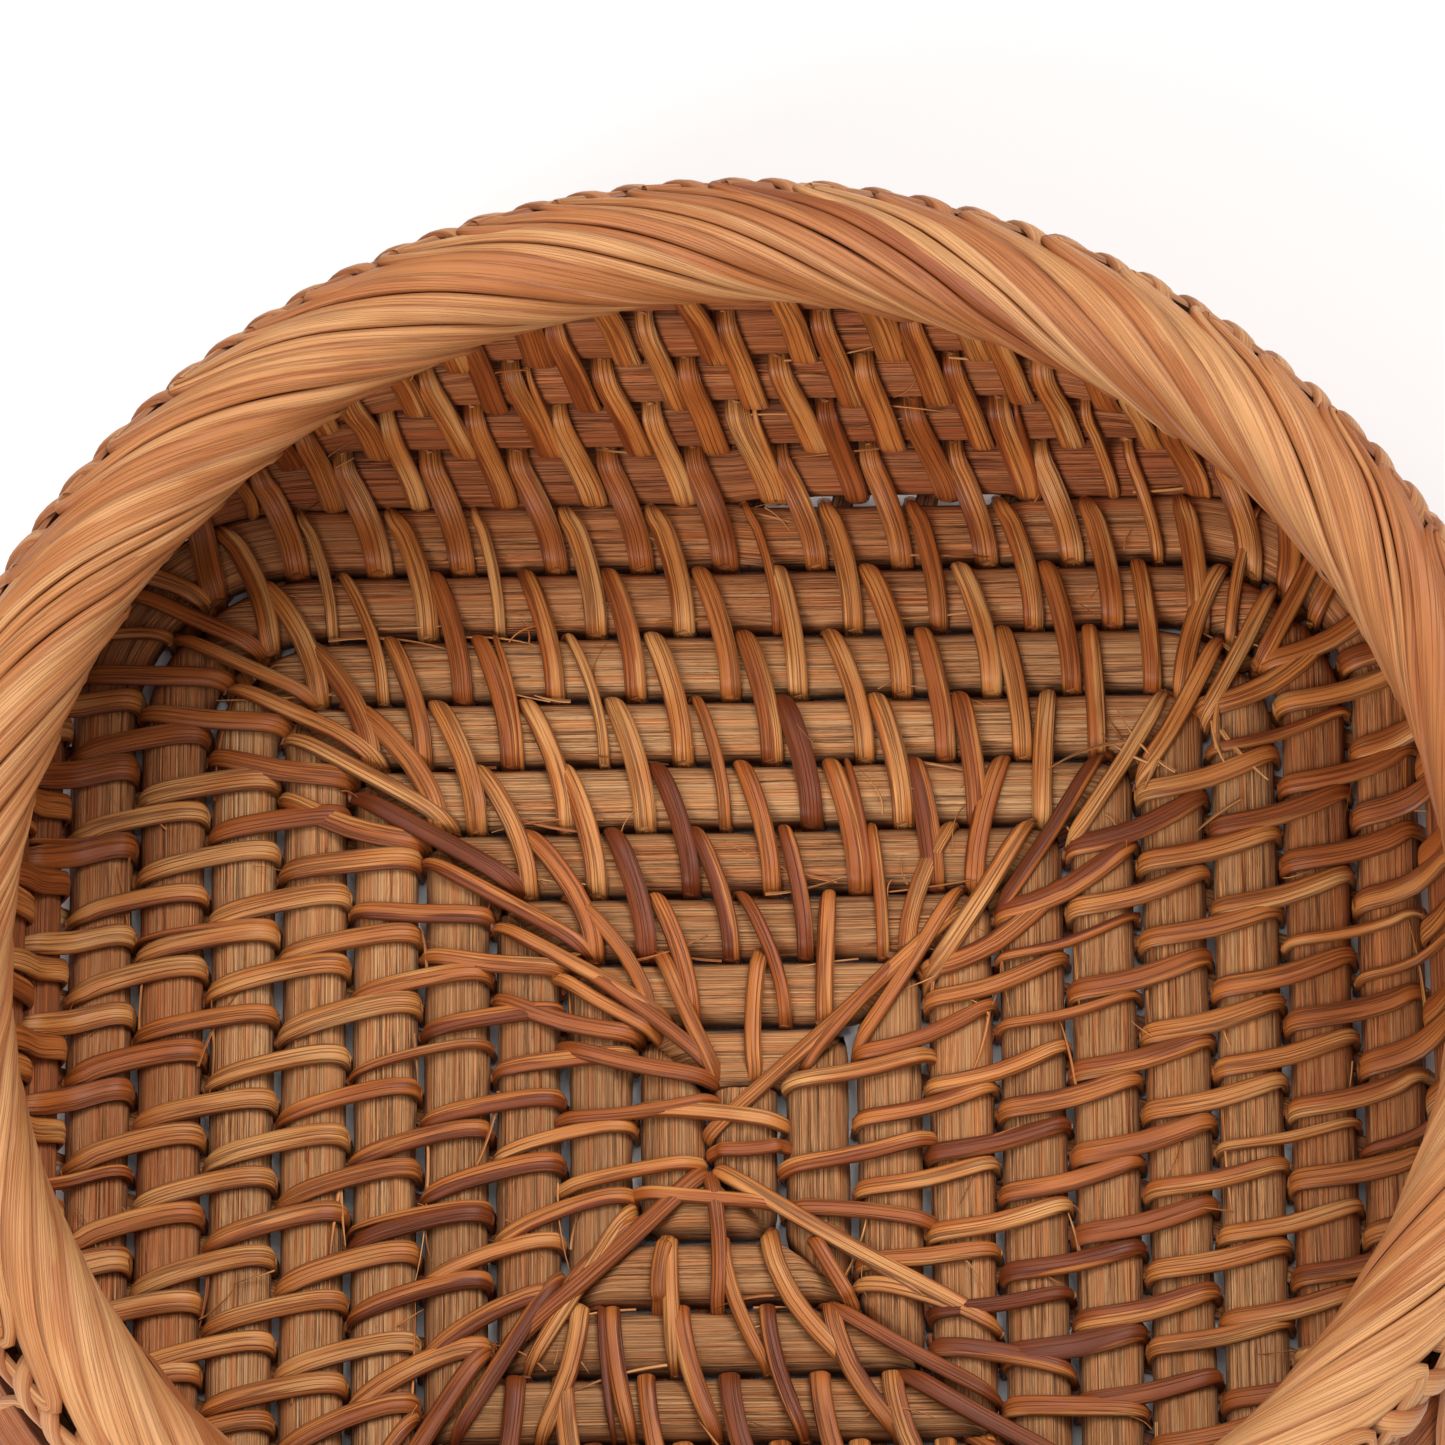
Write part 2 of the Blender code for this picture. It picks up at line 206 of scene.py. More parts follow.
class Sweeps:
    """Closed strips, gathered into one mesh with the attributes that the materials read."""

    def __init__(self):
        self.points = []
        self.faces = []
        self.strip = []
        self.look = []

    def add(self, sections, lengths, widths, outline, seed, tone, grain=None):
        """sections: (middle, across, normal); outline: (share of half the width, height in metres).

        The grain follows the strip, or the two directions in grain where a strip is cut and not bent.
        """
        base = len(self.points)
        for (middle, across, normal), length, width in zip(sections, lengths, widths):
            half = width / 2
            ring = outline(length) if callable(outline) else outline
            for x, y in ring:
                point = middle + across * (x * half) + normal * y
                self.points.append(point)
                if grain:
                    self.strip.append((point.dot(grain[0]) / MM, point.dot(grain[1]) / MM, seed))
                else:
                    self.strip.append((length / MM, x * half / MM, seed))
                self.look.append((x, tone, y / MM))
            count = len(ring)
        rings = len(sections)
        for i in range(rings - 1):
            low = base + i * count
            for j in range(count):
                k = (j + 1) % count
                self.faces.append((low + j, low + k, low + count + k, low + count + j))
        self.faces.append(tuple(range(base + count - 1, base - 1, -1)))
        last = base + (rings - 1) * count
        self.faces.append(tuple(range(last, last + count)))

    def mesh(self, name, look, smooth_angle=50.0):
        mesh = bpy.data.meshes.new(name)
        mesh.from_pydata([tuple(point) for point in self.points], [], self.faces)
        for label, values in (("strip", self.strip), ("look", self.look)):
            layer = mesh.attributes.new(label, "FLOAT_VECTOR", "POINT")
            layer.data.foreach_set("vector", np.array(values, dtype=np.float32).ravel())
        mesh.shade_smooth()
        mesh.set_sharp_from_angle(angle=math.radians(smooth_angle))
        mesh.materials.append(look)
        piece = bpy.data.objects.new(name, mesh)
        bpy.context.scene.collection.objects.link(piece)
        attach(piece, "root")
        return piece


def lengths_along(points):
    total = [0.0]
    for before, after in zip(points, points[1:]):
        total.append(total[-1] + (after - before).length)
    return total


def smooth_path(values, steps):
    """Catmull-Rom through a list of vectors."""
    result = []
    for i in range(len(values) - 1):
        before = values[max(i - 1, 0)]
        start = values[i]
        end = values[i + 1]
        after = values[min(i + 2, len(values) - 1)]
        for j in range(steps):
            t = j / steps
            result.append(
                (start * 2 + (end - before) * t + (before * 2 - start * 5 + end * 4 - after) * t**2
                 + (start * 3 - before - end * 3 + after) * t**3) / 2
            )
    result.append(values[-1].copy())
    return result


def ribbon_sections(points, normals):
    """Middle, direction across and normal of a ribbon that follows points."""
    sections = []
    for i, (point, normal) in enumerate(zip(points, normals)):
        ahead = points[min(i + 1, len(points) - 1)] - points[max(i - 1, 0)]
        ahead.normalize()
        across = normal.cross(ahead).normalized()
        sections.append((point, across, ahead.cross(across)))
    return sections


# ---------------------------------------------------------------- materials

def new_material(name):
    made = bpy.data.materials.new(name)
    made.use_nodes = True
    return made, made.node_tree, made.node_tree.nodes["Principled BSDF"]


def attribute(tree, name):
    """(an attribute of the mesh as a vector, its three parts)

    strip: mm along the strip, mm across it, and a seed that differs from strip to strip.
    look: place across the strip from -1 to 1, tone from 0 to 1, and mm above its middle.
    """
    node = tree.nodes.new("ShaderNodeAttribute")
    node.attribute_name = name
    parts = tree.nodes.new("ShaderNodeSeparateXYZ")
    tree.links.new(node.outputs["Vector"], parts.inputs[0])
    return node.outputs["Vector"], parts.outputs


def link_or_set(tree, socket, value):
    if isinstance(value, bpy.types.NodeSocket):
        tree.links.new(value, socket)
    else:
        socket.default_value = value


def math_node(tree, operation, first, second=0.0, clamp=False):
    node = tree.nodes.new("ShaderNodeMath")
    node.operation = operation
    node.use_clamp = clamp
    link_or_set(tree, node.inputs[0], first)
    link_or_set(tree, node.inputs[1], second)
    return node.outputs[0]


def noise(tree, vector, scale, detail=3.0, roughness=0.6):
    """Noise of a vector that is first stretched by scale.

    For a strip, the scale is per mm along it, per mm across it and per step of its seed.
    """
    stretch = tree.nodes.new("ShaderNodeVectorMath")
    stretch.operation = "MULTIPLY"
    tree.links.new(vector, stretch.inputs[0])
    stretch.inputs[1].default_value = scale
    node = tree.nodes.new("ShaderNodeTexNoise")
    node.inputs["Scale"].default_value = 1.0
    node.inputs["Detail"].default_value = detail
    node.inputs["Roughness"].default_value = roughness
    tree.links.new(stretch.outputs[0], node.inputs["Vector"])
    return node.outputs["Fac"]


def ramp(tree, value, stops):
    """Colours by value: stops are (position, colour)."""
    node = tree.nodes.new("ShaderNodeValToRGB")
    elements = node.color_ramp.elements
    while len(elements) < len(stops):
        elements.new(0.5)
    for element, (position, colour) in zip(elements, stops):
        element.position = position
        element.color = (*colour, 1.0)
    tree.links.new(value, node.inputs["Fac"])
    return node.outputs["Color"]


def mix(tree, share, first, second, blend="MIX"):
    node = tree.nodes.new("ShaderNodeMix")
    node.data_type = "RGBA"
    node.blend_type = blend
    link_or_set(tree, node.inputs["Factor"], share)
    for socket, value in ((node.inputs[6], first), (node.inputs[7], second)):
        if isinstance(value, tuple):
            socket.default_value = (*value, 1.0)
        else:
            tree.links.new(value, socket)
    return node.outputs[2]


def bump(tree, height, distance, strength=1.0, normal=None):
    node = tree.nodes.new("ShaderNodeBump")
    node.inputs["Strength"].default_value = strength
    node.inputs["Distance"].default_value = distance
    tree.links.new(height, node.inputs["Height"])
    if normal is not None:
        tree.links.new(normal, node.inputs["Normal"])
    return node.outputs["Normal"]


def remap(tree, value, low, high, to_low=0.0, to_high=1.0):
    node = tree.nodes.new("ShaderNodeMapRange")
    tree.links.new(value, node.inputs["Value"])
    node.inputs["From Min"].default_value = low
    node.inputs["From Max"].default_value = high
    node.inputs["To Min"].default_value = to_low
    node.inputs["To Max"].default_value = to_high
    return node.outputs[0]


def contour(tree, value, width):
    """1 along the lines where a noise crosses its middle, 0 beyond a width from them."""
    away = math_node(tree, "ABSOLUTE", math_node(tree, "SUBTRACT", value, 0.5))
    return remap(tree, away, 0.0, width, 1.0, 0.0)


def tint(colour, factor):
    return tuple(channel * factor for channel in colour)


def cane_material(name, dark, base, pale, stain):
    """Bare split cane: open pores in long dark lines, pale fibres, stains, edges darkened partly by dirt
    and partly by painted shade, and painted shade on its sides.
    """
    made, tree, shader = new_material(name)
    strip, _ = attribute(tree, "strip")
    _, look = attribute(tree, "look")
    fibres = noise(tree, strip, (0.030, 6.4, 5.3), 3.0, 0.66)
    flecks = noise(tree, strip, (0.17, 3.6, 3.1), 2.0, 0.6)
    bands = noise(tree, strip, (0.022, 0.85, 1.7), 2.0, 0.5)
    patches = noise(tree, strip, (0.045, 0.22, 2.9), 2.0, 0.5)
    calm = remap(tree, noise(tree, strip, (0.030, 0.30, 7.3), 2.0, 0.5), 0.42, 0.56, 0.40, 1.0)
    pores = contour(tree, noise(tree, strip, (0.024, 2.3, 9.7), 2.0, 0.55), 0.040)
    pores = math_node(tree, "MULTIPLY", pores, remap(tree, flecks, 0.34, 0.56, 0.15, 1.0))
    pores = math_node(tree, "MULTIPLY", pores, calm)
    threads = contour(tree, noise(tree, strip, (0.032, 2.9, 4.4), 2.0, 0.6), 0.035)
    dashes = contour(tree, noise(tree, strip, (0.19, 2.7, 6.6), 2.0, 0.6), 0.045)
    dashes = math_node(tree, "MULTIPLY", dashes, calm)
    # The tone holds the painted light of the far side of the floor.
    tone = math_node(tree, "ADD", fibres, remap(tree, look[1], -0.2, 1.2, -0.126, 0.126))
    stops = ((0.30, tint(base, 0.42)), (0.44, tint(base, 0.85)), (0.53, base), (0.68, pale))
    colour = ramp(tree, tone, stops)
    warm = mix(tree, 1.0, colour, (1.12, 0.80, 0.55), "MULTIPLY")
    colour = mix(tree, remap(tree, bands, 0.46, 0.64, 0.0, 0.75), colour, warm)
    colour = mix(tree, remap(tree, patches, 0.50, 0.72, 0.0, 0.6), colour, mix(tree, 0.6, colour, stain))
    colour = mix(tree, math_node(tree, "MULTIPLY", threads, 0.5), colour, pale)
    colour = mix(tree, math_node(tree, "MULTIPLY", dashes, 0.40), colour, dark)
    colour = mix(tree, math_node(tree, "MULTIPLY", pores, 0.85), colour, dark)
    # The edges of the cane are darker: partly dirt, and partly painted shade where the cane turns down into
    # the gaps between rows.
    edge = remap(tree, math_node(tree, "ABSOLUTE", look[0]), 0.76, 1.0)
    edge = math_node(tree, "MULTIPLY", edge, remap(tree, flecks, 0.35, 0.6, 0.35, 0.75))
    colour = mix(tree, edge, colour, tint(dark, 0.7))
    # Painted shade: the cane's sides below its top are darkened where they turn down into the gaps between
    # rows, less so on its flat outer face.
    painted_shade = remap(tree, look[2], 0.6, -1.4, 0.0, 0.8)
    outside = remap(tree, look[2], -1.7, -2.05, 1.0, 0.15)
    colour = mix(tree, math_node(tree, "MULTIPLY", painted_shade, outside), colour, tint(dark, 0.5))
    tree.links.new(colour, shader.inputs["Base Color"])
    tree.links.new(remap(tree, fibres, 0.3, 0.7, 0.78, 0.56), shader.inputs["Roughness"])
    shader.inputs["Specular IOR Level"].default_value = 0.35
    grooves = math_node(tree, "SUBTRACT", math_node(tree, "MULTIPLY", fibres, 0.8), pores)
    tree.links.new(bump(tree, grooves, 0.00022, 0.9), shader.inputs["Normal"])
    return made


def peel_material(name, tones, streak, roughness, lines_per_mm, contrast):
    """Cane peel: a smooth skin with fine lines along it. Its tone differs from strip to strip.

    Many strips were split at the edge of the stem, and are paler beyond a line along them.
    """
    made, tree, shader = new_material(name)
    strip, parts = attribute(tree, "strip")
    _, look = attribute(tree, "look")
    fine = noise(tree, strip, (0.09, lines_per_mm * 5.0, 4.1), 2.0, 0.65)
    cloud = noise(tree, strip, (0.09, 0.35, 6.1), 2.0, 0.5)
    pins = contour(tree, noise(tree, strip, (0.022, lines_per_mm, 7.9), 2.0, 0.5), 0.050)
    border = math_node(tree, "SINE", math_node(tree, "MULTIPLY", parts[2], 7.3))
    border = math_node(tree, "MULTIPLY", border, 1.1)
    waver = math_node(tree, "ADD", look[0], remap(tree, cloud, 0.3, 0.7, -0.3, 0.3))
    beyond = math_node(tree, "SUBTRACT", waver, border)
    darkness = math_node(tree, "SUBTRACT", 1.0, look[1])
    paler = math_node(tree, "MULTIPLY", remap(tree, beyond, 0.15, 0.32), darkness)
    tone = math_node(tree, "ADD", look[1], remap(tree, cloud, 0.3, 0.7, -0.14, 0.14))
    tone = math_node(tree, "ADD", tone, math_node(tree, "MULTIPLY", paler, 0.62))
    colour = ramp(tree, tone, tones)
    bright = mix(tree, 1.0, colour, (1.42, 1.48, 1.55), "MULTIPLY")
    colour = mix(tree, remap(tree, fine, 0.50, 0.68, 0.0, contrast), colour, bright)
    colour = mix(tree, remap(tree, fine, 0.48, 0.32, 0.0, 0.6 * contrast), colour, streak)
    colour = mix(tree, math_node(tree, "MULTIPLY", pins, contrast), colour, streak)
    edge = math_node(tree, "ABSOLUTE", look[0])
    colour = mix(tree, remap(tree, edge, 0.70, 1.0, 0.0, 0.70), colour, streak)
    tree.links.new(colour, shader.inputs["Base Color"])
    sheen = remap(tree, cloud, 0.3, 0.7, roughness - 0.06, roughness + 0.08)
    tree.links.new(sheen, shader.inputs["Roughness"])
    shader.inputs["Specular IOR Level"].default_value = 0.32
    shader.inputs["Coat Weight"].default_value = 0.04
    shader.inputs["Coat Roughness"].default_value = 0.35
    ribs = math_node(tree, "SUBTRACT", math_node(tree, "MULTIPLY", fine, 0.6), pins)
    tree.links.new(bump(tree, ribs, 0.00010, 0.8), shader.inputs["Normal"])
    return made


def hidden_cane_material():
    """The hoops inside the rim, which only show between the passes of its wrap."""
    made, tree, shader = new_material("hidden_cane")
    coords = tree.nodes.new("ShaderNodeTexCoord")
    grain = noise(tree, coords.outputs["Object"], (900.0, 900.0, 2200.0), 3.0, 0.6)
    stops = ((0.3, (0.05, 0.018, 0.006)), (0.55, (0.16, 0.06, 0.02)), (0.75, (0.30, 0.13, 0.045)))
    tree.links.new(ramp(tree, grain, stops), shader.inputs["Base Color"])
    tree.links.new(remap(tree, grain, 0.3, 0.7, 0.8, 0.6), shader.inputs["Roughness"])
    tree.links.new(bump(tree, grain, 0.0003), shader.inputs["Normal"])
    return made


CANE_COLOURS = {
    "straw": dict(
        dark=(0.110, 0.030, 0.009),
        base=(0.51, 0.218, 0.076),
        pale=(0.73, 0.44, 0.21),
        stain=(0.30, 0.15, 0.06),
    ),
    "amber": dict(
        dark=(0.110, 0.026, 0.008),
        base=(0.48, 0.170, 0.052),
        pale=(0.68, 0.35, 0.150),
        stain=(0.26, 0.10, 0.035),
    ),
    "orange": dict(
        dark=(0.110, 0.024, 0.008),
        base=(0.40, 0.115, 0.031),
        pale=(0.58, 0.245, 0.095),
        stain=(0.22, 0.065, 0.020),
    ),
}
# (tone, colour) of the peel: mahogany at 0, golden at 1
STITCH_TONES = (
    (0.0, (0.150, 0.029, 0.006)),
    (0.25, (0.25, 0.055, 0.011)),
    (0.55, (0.41, 0.110, 0.021)),
    (0.80, (0.55, 0.190, 0.043)),
    (1.0, (0.68, 0.32, 0.105)),
)
STITCH_STREAK = (0.115, 0.030, 0.009)
RIM_TONES = (
    (0.0, (0.30, 0.080, 0.021)),
    (0.3, (0.42, 0.140, 0.041)),
    (0.65, (0.51, 0.205, 0.068)),
    (1.0, (0.61, 0.30, 0.120)),
)
RIM_STREAK = (0.22, 0.058, 0.015)


# ---------------------------------------------------------------- cane rows

def crease_at(creases, length):
    """How deep in a crease a place along the cane is, from 0 to 1."""
    return max((math.exp(-(((length - spot) / CREASE_LENGTH) ** 2)) for spot in creases), default=0.0)


def cane_outline(rng, creases):
    """Outline of the split cane, whose ridges come and go along it and dip where it is folded."""
    count = 17
    ridges = [rng.uniform(-1, 1) for _ in range(count)]
    changes = [wander(rng, 0.045) for _ in range(count)]
    sag = wander(rng, 0.09)
    top = CANE_THICKNESS / 2
    shoulder = 0.00185
    edge = -0.0008
    ridge_height = 0.00011
    sag_height = 0.00012
    crease_depth = 0.0024

    def at(length):
        crease = crease_depth * crease_at(creases, length)
        ring = [(-0.96, -top), (0.96, -top), (1.0, edge)]
        for i in range(count):
            x = 1.0 - 2.0 * i / (count - 1)
            crown = top - shoulder * abs(x) ** 3.6 - 0.00012 * abs(x) ** 2
            ridge = ridges[i] + 0.7 * changes[i](length)
            fade = 1 - 0.5 * abs(x) ** 3
            height = crown + ridge_height * ridge * fade + sag_height * sag(length)
            ring.append((x * (1 - 0.012 * (i % 2)), height - crease * (0.6 + 0.4 * abs(x))))
        ring.append((-1.0, edge))
        return ring

    return at


def spread(start, length, count):
    """Evenly spaced places after a start, the last of them at the end of the length."""
    return [start + length * i / count for i in range(1, count + 1)]


def bent_stops(side, row):
    """Places along one side from diagonal to diagonal, closer together in its bends."""
    start = diagonal(side, row, False)
    end = diagonal(side, row, True)
    if side == RIGHT:
        end -= JOINT
    if side == FRONT:
        start += JOINT
    first_bend, last_bend = [corner(side, row, at_end)[1] * math.pi / 4 for at_end in (False, True)]
    stops = [start] + spread(start, first_bend, max(int(2 * first_bend / BENT_STEP), 6))
    run = end - last_bend - stops[-1]
    stops += spread(stops[-1], run, max(int(run / BENT_STEP), 1))
    stops += spread(end - last_bend, last_bend, max(int(2 * last_bend / BENT_STEP), 6))
    return [(side, row, along) for along in stops]


def mitred_stops(side, row):
    """Places along one side from corner to corner. Row 0 is the short start of the coil."""
    start = -START_LENGTH if row == 0 else corner(side, row, False)[0]
    end = corner(side, row, True)[0]
    count = max(int((end - start) / MITRED_STEP), 24)
    return [(side, row, start + (end - start) * i / count) for i in range(count + 1)]


def coil_sides(row):
    """The places along one turn of the coil, a list for each side. The coil starts inside row 1."""
    sides = []
    if row == 1:
        sides.append(mitred_stops(RIGHT, 0))
    for side in TURN:
        sides.append(mitred_stops(side, row) if row <= MITRED_ROWS else bent_stops(side, row))
    return sides


def mitred_sections(stops):
    """Sections of a straight length of cane whose ends are cut along the diagonals of the basket."""
    side, row, start = stops[0]
    end = stops[-1][2]
    out, travel = NORMALS[side], NORMALS[(side + 1) % 4]
    sections = []
    for _, _, along in stops:
        shear = max(0.0, 1 - (end - along) / MITRE)
        if row > 0:
            shear -= max(0.0, 1 - (along - start) / MITRE)
        middle = out * offset(side, row) + travel * along + UP * FLOOR_LEVEL
        sections.append((middle, out + travel * shear, UP))
    return sections


def closed_part(along):
    """0 where the gap at the foot of the back wall is open, 1 where the rows beside it nearly touch."""
    return ease(max(OPEN_PART[0] - along, along - OPEN_PART[1]), 0.0, 0.004)


def tone_and_painted_light_shift(side, row):
    """The cane is darker in the middle of the floor. On the far side of the floor it is made paler, which
    is painted light.
    """
    dark_rows = 4
    if row <= dark_rows:
        return -0.35
    # Painted light: the far side of the floor is made paler.
    return 0.45 if side == BACK and row <= FOLDED_ROWS else 0.0


def cane_widths(stops, lengths, row, creases, rng):
    """The cane's uneven width, narrower in its folds."""
    narrow = wander(rng, 0.05)
    jag = wander(rng, 0.009)
    widths = []
    for (side, _, along), length in zip(stops, lengths):
        wide = 1.0 + 0.028 * narrow(length) + 0.012 * jag(length) - 0.14 * crease_at(creases, length)
        if side == BACK and row in GAP_LEAN:
            wide += GAP_WIDENING * closed_part(along)
        widths.append(CANE_WIDTH * wide)
    return widths


def cane_run(sweeps, stops, row, rng, folded):
    """One length of cane: a single side that is folded at its ends, or a whole turn of the coil."""
    if row <= MITRED_ROWS:
        sections = mitred_sections(stops)
    else:
        sections = []
        for side, _, along in stops:
            point, _, across, inward = surface(side, row, along)
            lean = GAP_LEAN.get(row, 0.0) if side == BACK else 0.0
            sections.append((point + across * lean * closed_part(along), across, inward))
    lengths = lengths_along([section[0] for section in sections])
    creases = []
    grain = None
    if folded:
        side = stops[0][0]
        creases = [lengths[-1]] if row == 0 else [0.0, lengths[-1]]
        grain = (NORMALS[(side + 1) % 4], NORMALS[side])
    widths = cane_widths(stops, lengths, row, creases, rng)
    # On the far side of the floor this tone holds painted light.
    tone = rng.uniform(0.2, 0.8) + tone_and_painted_light_shift(stops[0][0], row)
    sweeps.add(sections, lengths, widths, cane_outline(rng, creases), rng.uniform(0, 90), tone, grain)


def cane_colour(row):
    """The cane is straw in the middle of the floor, amber at its edge and orange up the wall."""
    if row <= STRAW_ROWS:
        return "straw"
    return "amber" if row <= FLOOR_ROWS else "orange"


def coil_row(row, look):
    """One turn of the coil: a length for each side where it is folded, or one bent length."""
    rng = np.random.default_rng(COIL_SEED + row)
    sweeps = Sweeps()
    sides = coil_sides(row)
    if row <= FOLDED_ROWS:
        for stops in sides:
            cane_run(sweeps, stops, stops[0][1], rng, True)
    else:
        stops = sides[0] + [stop for side in sides[1:] for stop in side[1:]]
        cane_run(sweeps, stops, row, rng, False)
    kind = "floor" if row <= FLOOR_ROWS else "wall"
    piece = sweeps.mesh(f"cane_row_{row:02d}", look, 60.0)
    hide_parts(f"{kind}_coil_{row:02d}")


# ---------------------------------------------------------------- stitches

# (share of the way over two rows, height in mm above the middle of the cane)
STITCH_KNOTS = (
    (0.0, -2.5), (0.012, -0.8), (0.022, 0.9), (0.055, 2.05), (0.13, 2.55), (0.26, 2.72), (0.5, 2.58),
    (0.74, 2.72), (0.87, 2.55), (0.945, 2.05), (0.978, 0.9), (0.988, -0.8), (1.0, -2.5),
)
# Outlines of the strips: (share of half the width, height in metres)
PEEL_OUTLINE = (
    (1.0, -0.00028), (0.0, -0.00030), (-1.0, -0.00028), (-1.0, 0.00006), (-0.80, 0.00027),
    (-0.40, 0.00040), (0.0, 0.00044), (0.40, 0.00040), (0.80, 0.00027), (1.0, 0.00006),
)
STITCH_SPACING = 0.0105
STITCH_SLANT = 0.0039
MAHOGANY_ROWS = (4, 5)


def stitch(sweeps, route, below, width, lift, seed, tone, taper=0.45):
    """One run of peel over two rows, or under them. route gives its place at a share of the way inwards."""
    upright_part = 0.03
    sloping_part = 0.10
    deepest_below = -0.0002
    points = []
    normals = []
    for share, height in STITCH_KNOTS:
        point, _, across, inward = surface(*route(share))
        from_end = min(share, 1 - share)
        sideways = across * (1 if share < 0.5 else -1)
        if from_end < upright_part:
            normal = sideways
        elif from_end < sloping_part:
            normal = (sideways + inward).normalized()
        else:
            normal = inward
        rise = height * MM + (lift if from_end > sloping_part else 0.0)
        if below:
            rise = -max(rise, deepest_below)
            normal = normal - inward * 2 * normal.dot(inward)
        points.append(point + inward * rise)
        normals.append(normal)
    points = smooth_path(points, 2)
    normals = [normal.normalized() for normal in smooth_path(normals, 2)]
    sections = ribbon_sections(points, normals)
    count = len(points)
    widths = []
    for i in range(count):
        share = i / (count - 1)
        narrow = taper * (1 - ease(share, 0.12, 0.45)) + 0.10 * ease(share, 0.85, 0.97)
        widths.append(width * (1 - narrow))
    lengths = lengths_along(points)
    sweeps.add(sections, lengths, widths, PEEL_OUTLINE, seed, tone)


def side_route(side, row, first, last):
    """Over two rows of a side, bent on the floor and nearly straight on the wall."""
    bend = 1.85 if row <= FLOOR_ROWS else 1.2
    return lambda share: (side, row + 0.5 - 2 * share, first + (last - first) * (1 - (1 - share) ** bend))


def back_route(side, row, first, last):
    """Under two rows of a side, straight."""
    return lambda share: (side, row + 0.5 - 2 * share, first + (last - first) * share)


def corner_route(side, row, reach, back=False):
    """Over a corner: from its side's outer gap, along the diagonal, to the next side's inner gap."""
    after = (side + 1) % 4
    step = step_after(side)

    def at(share):
        away = reach * (1 - 2 * share) * (-1 if back else 1)
        here = row + 0.5 - 2 * share
        if away >= 0:
            return side, here, diagonal(side, here, True) - away
        return after, here + step, diagonal(after, here + step, False) - away

    return at


def crowded(distance):
    """Distance from a diagonal that is left where there is no room for the regular one."""
    room = 0.006
    return (distance + math.sqrt(distance * distance + room * room)) / 2


def side_stitches(side, row, rng):
    """(outer place, inner place) of a side's stitches, closer together where they near a corner."""
    outer = row + 0.5
    inner = row - 1.5
    out_start, out_end = diagonal(side, outer, False), diagonal(side, outer, True)
    in_start, in_end = diagonal(side, inner, False), diagonal(side, inner, True)
    side_shift = (0.0, 0.3, 0.15, 0.45)[side]
    shift = side_shift * STITCH_SPACING + (row % 2) * STITCH_SPACING / 2
    edge = 0.0055
    past_corner = -0.0095
    first = math.ceil((out_start + edge - shift) / STITCH_SPACING)
    last = math.floor((out_end - edge - shift) / STITCH_SPACING)
    found = []
    for count in range(first, last + 1):
        at = shift + count * STITCH_SPACING + rng.normal(0, 0.00035)
        from_end = out_end - at - (out_end - in_end) - STITCH_SLANT
        from_start = at - out_start - (in_start - out_start) + STITCH_SLANT
        if min(from_end, from_start) < past_corner:
            continue
        if out_end - at < at - out_start:
            end = in_end - crowded(from_end)
        else:
            end = in_start + crowded(from_start)
        found.append((at, end + rng.normal(0, 0.0004)))
    return found


def stitch_tone(side, row, rng):
    """0 is mahogany, 1 is golden."""
    if row in MAHOGANY_ROWS:
        return rng.uniform(0.0, 0.22) if rng.random() < 0.62 else rng.uniform(0.4, 0.7)
    if row in (3, 6) and rng.random() < 0.22:
        return rng.uniform(0.1, 0.35)
    if row == 3:
        return rng.uniform(0.35, 0.75)
    if row <= FLOOR_ROWS:
        return rng.uniform(0.42, 0.90) - (0.10 if side == RIGHT else 0.0)
    return rng.uniform(0.28, 0.74)


def stitch_width(row, rng):
    """The strands grow wider from the middle of the basket to its rim. A few stitches are thin."""
    thin_share = 0.07
    row_widths = ((3, 2.15), (6, 2.55), (9, 2.65), (10, 3.05))
    if rng.random() < thin_share:
        return rng.uniform(1.2, 1.6) * MM
    return rng.normal(between(row, row_widths), 0.18) * MM


def corner_stitches(sweeps, side, row, rng):
    """The stitch over the corner at the end of a side, above and below."""
    reach = 0.0031
    width = rng.uniform(1.8, 2.4) * MM
    tone = stitch_tone(side, row, rng)
    if side == RIGHT and row == LAST_WALL_STITCHING:
        return
    stitch(sweeps, corner_route(side, row, reach), False, width, 0.0003, rng.uniform(0, 60), tone)
    stitch(sweeps, corner_route(side, row, reach, True), True, width, 0.0, rng.uniform(0, 60), tone)


def strand(row, rng):
    """All stitches of one strand, above and below. A few have a thin split strip beside them."""
    split_share = 0.05
    split_width = 1.0 * MM
    taper = 0.35 if row <= FLOOR_ROWS else 0.15
    sweeps = Sweeps()
    for side in TURN:
        found = side_stitches(side, row, rng)
        for index, (first, last) in enumerate(found):
            width = stitch_width(row, rng)
            tone = stitch_tone(side, row, rng)
            seed = rng.uniform(0, 60)
            lift = rng.uniform(0, 0.0002)
            stitch(sweeps, side_route(side, row, first, last), False, width, lift, seed, tone, taper)
            if rng.random() < split_share:
                beside = side_route(side, row, first + 0.0021, last + 0.0012)
                stitch(sweeps, beside, False, split_width, 0.0, rng.uniform(0, 60), tone * 0.9)
            if index + 1 < len(found):
                under = back_route(side, row, found[index + 1][0], last)
                stitch(sweeps, under, True, width * 0.95, 0.0, seed, tone)
        corner_stitches(sweeps, side, row, rng)
    return sweeps


def strands(look):
    """The strands of the floor and the wall. Rows 1 and 2 only have the lacing."""
    first_strand = 3
    for row in range(first_strand, LAST_WALL_STITCHING + 1):
        rng = np.random.default_rng(STRAND_SEED + row)
        kind = "floor" if row <= FLOOR_ROWS else "wall"
        piece = strand(row, rng).mesh(f"{kind}_stitches_{row:02d}", look)
        base = f"{kind}_stitching_{row:02d}"
        nodes = [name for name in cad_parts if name.startswith(base)]
        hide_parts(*nodes)


